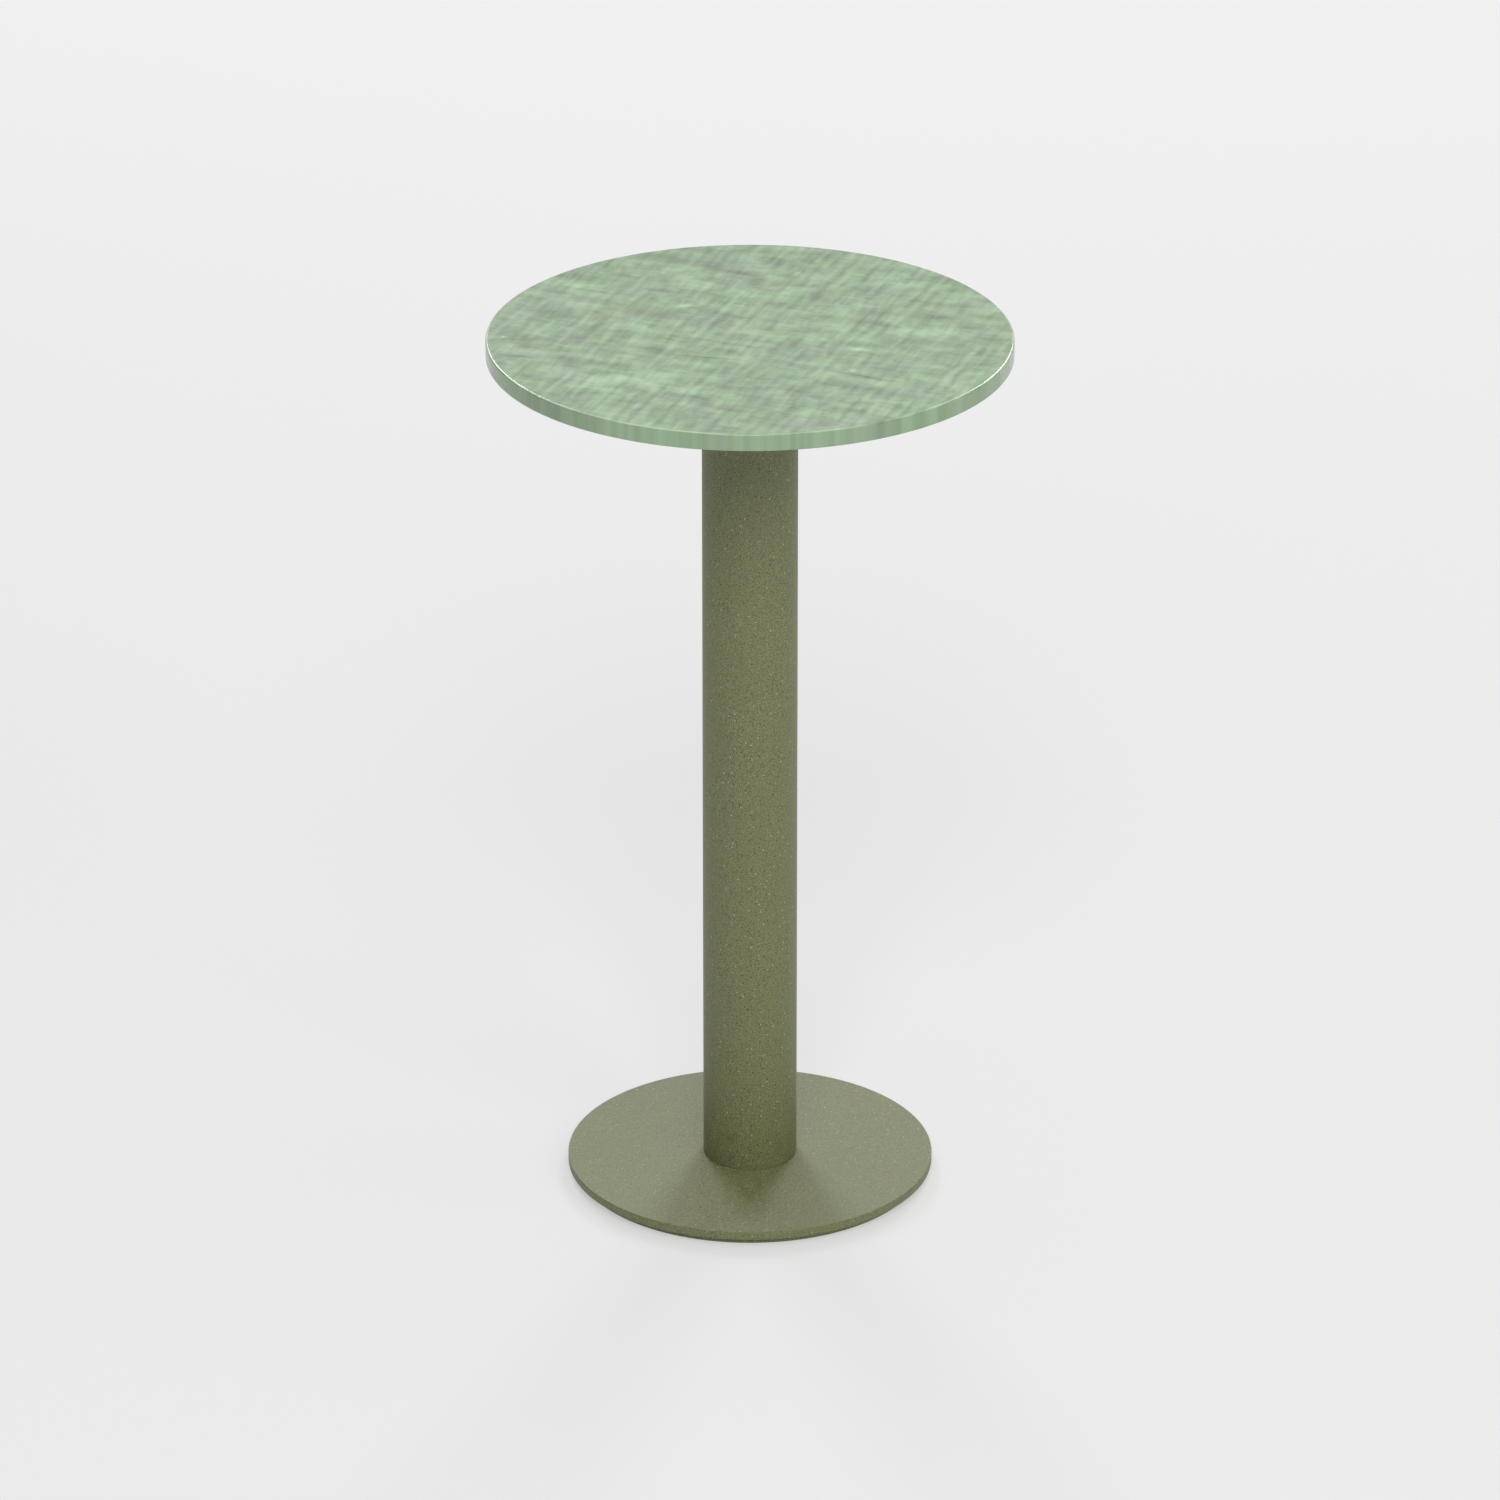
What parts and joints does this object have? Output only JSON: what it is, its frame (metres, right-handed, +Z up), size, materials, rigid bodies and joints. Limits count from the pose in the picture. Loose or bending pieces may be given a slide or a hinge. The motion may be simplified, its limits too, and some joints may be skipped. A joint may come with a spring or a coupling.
{
  "type": "pedestal bar table",
  "caption": "Round bar-height pedestal table: a thick disc top on a tube column and a heavy disc base with a shadow gap and recessed levelling glides.",
  "frame": {"origin": "on the floor at the centre of the base, with the glides screwed home", "axes": "+Z up along the column; X and Y are level, with a glide on each diagonal between them"},
  "size_m": [0.5999, 0.6, 1.05],
  "materials": {
    "top_composite": "satin",
    "olive_powder_coat": "matte",
    "zinc_steel": "satin",
    "brass_insert": "satin",
    "gasket_rubber": "matte",
    "glide_nylon": "matte",
    "sole_rubber": "matte"
  },
  "bodies": {
    "table": {"table_top": "top_composite", "top_inserts": "brass_insert", "top_gasket": "gasket_rubber", "top_plate": "olive_powder_coat", "top_screw_washers": "zinc_steel", "top_screws": "zinc_steel", "top_spigot": "olive_powder_coat", "coupling_nut": "zinc_steel", "column_tube": "olive_powder_coat", "tie_rod": "zinc_steel", "tie_rod_washer": "zinc_steel", "tie_rod_nut": "zinc_steel", "base_plate": "olive_powder_coat", "base_spigot": "olive_powder_coat", "base_plinth": "olive_powder_coat", "plinth_screws": "zinc_steel", "glide_bushes": "zinc_steel"},
    "glide_1_foot": {"glide_pad_1": "glide_nylon", "glide_sole_1": "sole_rubber"},
    "glide_1_stud": {"glide_stud_1": "zinc_steel"},
    "glide_2_foot": {"glide_pad_2": "glide_nylon", "glide_sole_2": "sole_rubber"},
    "glide_2_stud": {"glide_stud_2": "zinc_steel"},
    "glide_3_foot": {"glide_pad_3": "glide_nylon", "glide_sole_3": "sole_rubber"},
    "glide_3_stud": {"glide_stud_3": "zinc_steel"},
    "glide_4_foot": {"glide_pad_4": "glide_nylon", "glide_sole_4": "sole_rubber"},
    "glide_4_stud": {"glide_stud_4": "zinc_steel"}
  },
  "joints": [
    {"name": "glide_1_height", "type": "slide", "parent": "table", "child": "glide_1_foot", "axis": [0, 0, -1], "range_m": [0, 0.005]},
    {"name": "glide_1_turn", "type": "hinge", "parent": "glide_1_foot", "child": "glide_1_stud", "pos_m": [0.11667, 0.11667, 0], "axis": [0, 0, -1], "range_deg": [0, 1200]},
    {"name": "glide_2_height", "type": "slide", "parent": "table", "child": "glide_2_foot", "axis": [0, 0, -1], "range_m": [0, 0.005]},
    {"name": "glide_2_turn", "type": "hinge", "parent": "glide_2_foot", "child": "glide_2_stud", "pos_m": [-0.11667, 0.11667, 0], "axis": [0, 0, -1], "range_deg": [0, 1200]},
    {"name": "glide_3_height", "type": "slide", "parent": "table", "child": "glide_3_foot", "axis": [0, 0, -1], "range_m": [0, 0.005]},
    {"name": "glide_3_turn", "type": "hinge", "parent": "glide_3_foot", "child": "glide_3_stud", "pos_m": [-0.11667, -0.11667, 0], "axis": [0, 0, -1], "range_deg": [0, 1200]},
    {"name": "glide_4_height", "type": "slide", "parent": "table", "child": "glide_4_foot", "axis": [0, 0, -1], "range_m": [0, 0.005]},
    {"name": "glide_4_turn", "type": "hinge", "parent": "glide_4_foot", "child": "glide_4_stud", "pos_m": [0.11667, -0.11667, 0], "axis": [0, 0, -1], "range_deg": [0, 1200]}
  ],
  "couplings": [
    {"joint": "glide_1_turn", "follows": "glide_1_height", "rad_per_m": 4188.8},
    {"joint": "glide_2_turn", "follows": "glide_2_height", "rad_per_m": 4188.8},
    {"joint": "glide_3_turn", "follows": "glide_3_height", "rad_per_m": 4188.8},
    {"joint": "glide_4_turn", "follows": "glide_4_height", "rad_per_m": 4188.8}
  ]
}
